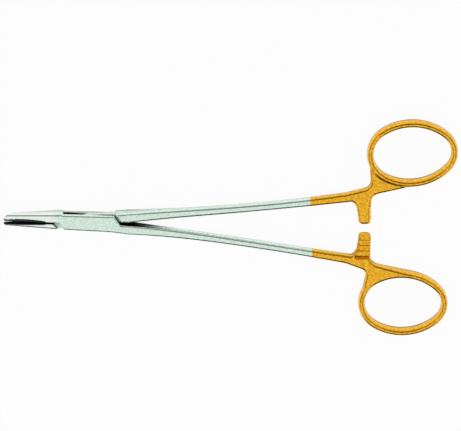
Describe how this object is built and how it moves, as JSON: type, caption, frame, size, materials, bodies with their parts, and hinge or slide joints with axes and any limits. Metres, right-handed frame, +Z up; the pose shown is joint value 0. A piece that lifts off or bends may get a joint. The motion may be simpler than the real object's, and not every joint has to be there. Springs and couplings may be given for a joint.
{
  "type": "surgical needle holder",
  "caption": "Straight needle holder with a box lock, slim bowed shanks, finger rings, ratchet arms and carbide inserts in its short jaws; the handle end is gold plated.",
  "frame": {"origin": "on the box lock's pin axis, at the flat underside that the instrument lies on", "axes": "+X along the length from the lock towards the finger rings, +Y from the lower ring towards the upper ring, +Z up out of the flat face"},
  "size_m": [0.1592, 0.0815, 0.0052],
  "materials": {
    "forged_steel": "satin stainless steel, polished gold plating over the handle end",
    "pin_steel": "ground flush, satin",
    "carbide": "dark sintered carbide with a fine cross-cut grip face"
  },
  "bodies": {
    "box_body": {"box_half": "forged_steel", "pivot_pin": "pin_steel", "upper_jaw_insert": "carbide"},
    "tongue_body": {"tongue_half": "forged_steel", "lower_jaw_insert": "carbide"}
  },
  "joints": [
    {"name": "lock_hinge", "type": "hinge", "parent": "box_body", "child": "tongue_body", "pos_m": [0, 0, 0.0026], "axis": [0, 0, 1], "range_deg": [-1.7, 58]}
  ]
}
